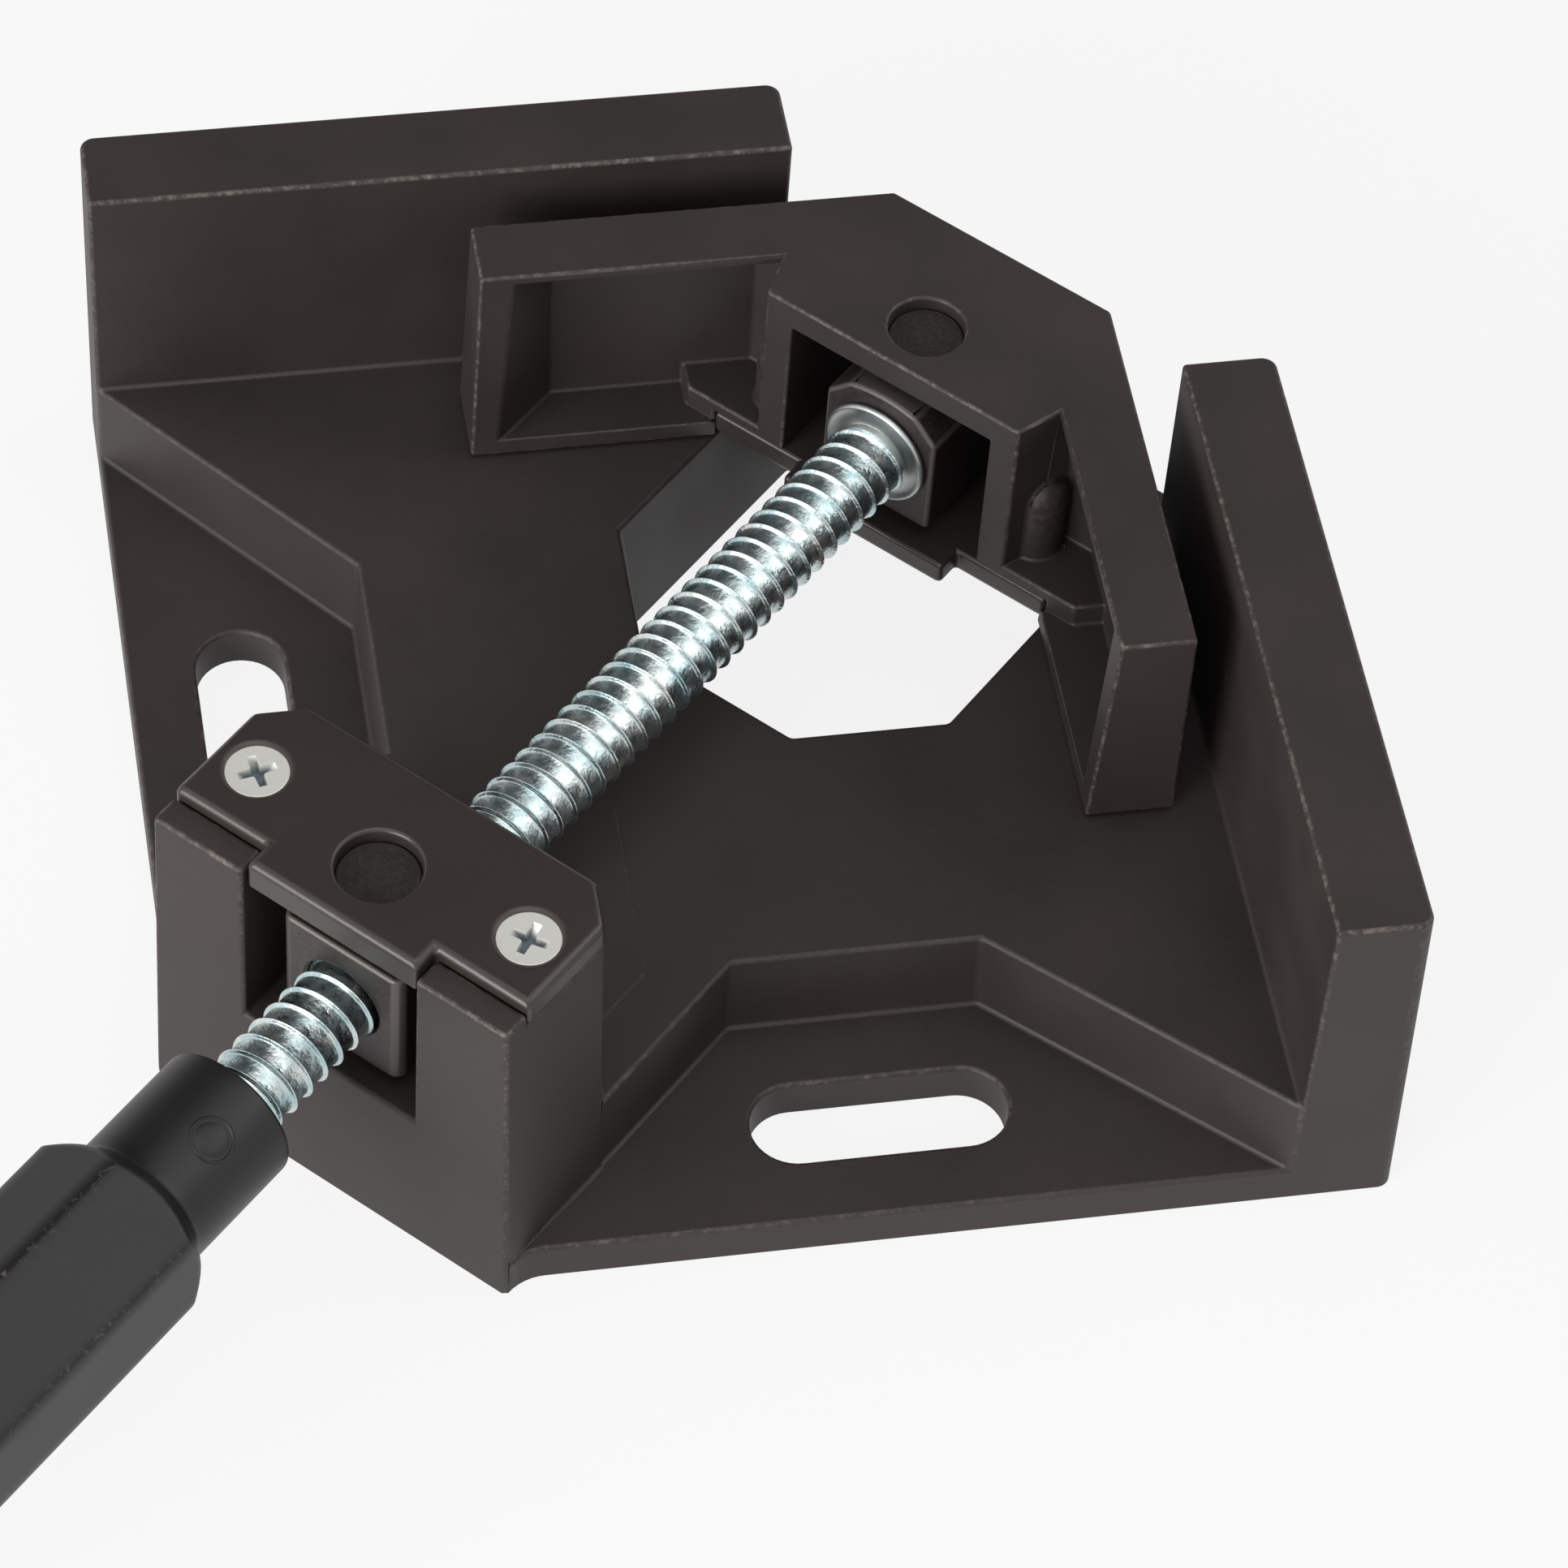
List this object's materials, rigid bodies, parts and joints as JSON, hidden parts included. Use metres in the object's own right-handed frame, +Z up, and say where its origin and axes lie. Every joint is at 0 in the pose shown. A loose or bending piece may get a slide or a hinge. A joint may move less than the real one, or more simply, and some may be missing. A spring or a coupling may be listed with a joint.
{
  "type": "corner clamp",
  "caption": "Right-angle corner clamp: a cast base with two fences and a V jaw driven by a lead screw with a six-sided handle.",
  "frame": {"origin": "the virtual corner where the inner faces of the two fences would meet, at bench level", "axes": "+X to the right along fence A, +Y away from the handle's side along fence B, +Z up from the bench; the screw lies on the diagonal (1, 1, 0)"},
  "size_m": [0.2237, 0.2237, 0.056],
  "materials": {
    "casting": "matt dark brown-black coat on cast aluminium, lightly worn on the edges",
    "cover_plate": "glossier black coat on steel",
    "block": "dark sintered steel",
    "screw": "bluish zinc plate",
    "washer": "bright nickel plate",
    "cover_screw": "pale zinc plate",
    "handle": "black satin moulding",
    "pin": "dark oiled steel"
  },
  "bodies": {
    "base": {"base_casting": "casting", "nut_cover_plate": "cover_plate", "nut_cover_screw_left": "cover_screw", "nut_cover_screw_right": "cover_screw"},
    "nut": {"nut_block": "block"},
    "swivel": {"swivel_block": "block"},
    "screw": {"lead_screw": "screw", "thrust_washer": "washer", "rear_washer": "washer", "retaining_ring": "pin", "handle_grip": "handle", "handle_pin": "pin"},
    "jaw": {"jaw_casting": "casting", "jaw_cover_plate": "cover_plate", "jaw_cover_screw_left": "cover_screw", "jaw_cover_screw_right": "cover_screw"}
  },
  "joints": [
    {"name": "nut_swing", "type": "hinge", "parent": "base", "child": "nut", "pos_m": [-0.11475, -0.11475, 0.037], "axis": [0, 0, 1], "range_deg": [-1, 1]},
    {"name": "screw_advance", "type": "slide", "parent": "nut", "child": "swivel", "axis": [0.7071, 0.7071, 0], "range_m": [-0.08, 0.003]},
    {"name": "screw_turn", "type": "hinge", "parent": "swivel", "child": "screw", "pos_m": [-0.0316, -0.0316, 0.037], "axis": [0.7071, 0.7071, 0], "range_deg": [-9600, 360]},
    {"name": "jaw_swing", "type": "hinge", "parent": "swivel", "child": "jaw", "pos_m": [-0.0316, -0.0316, 0.037], "axis": [0, 0, 1], "range_deg": [-1.5, 1.5]}
  ],
  "couplings": [
    {"joint": "screw_turn", "follows": "screw_advance", "rad_per_m": 2094.4}
  ]
}
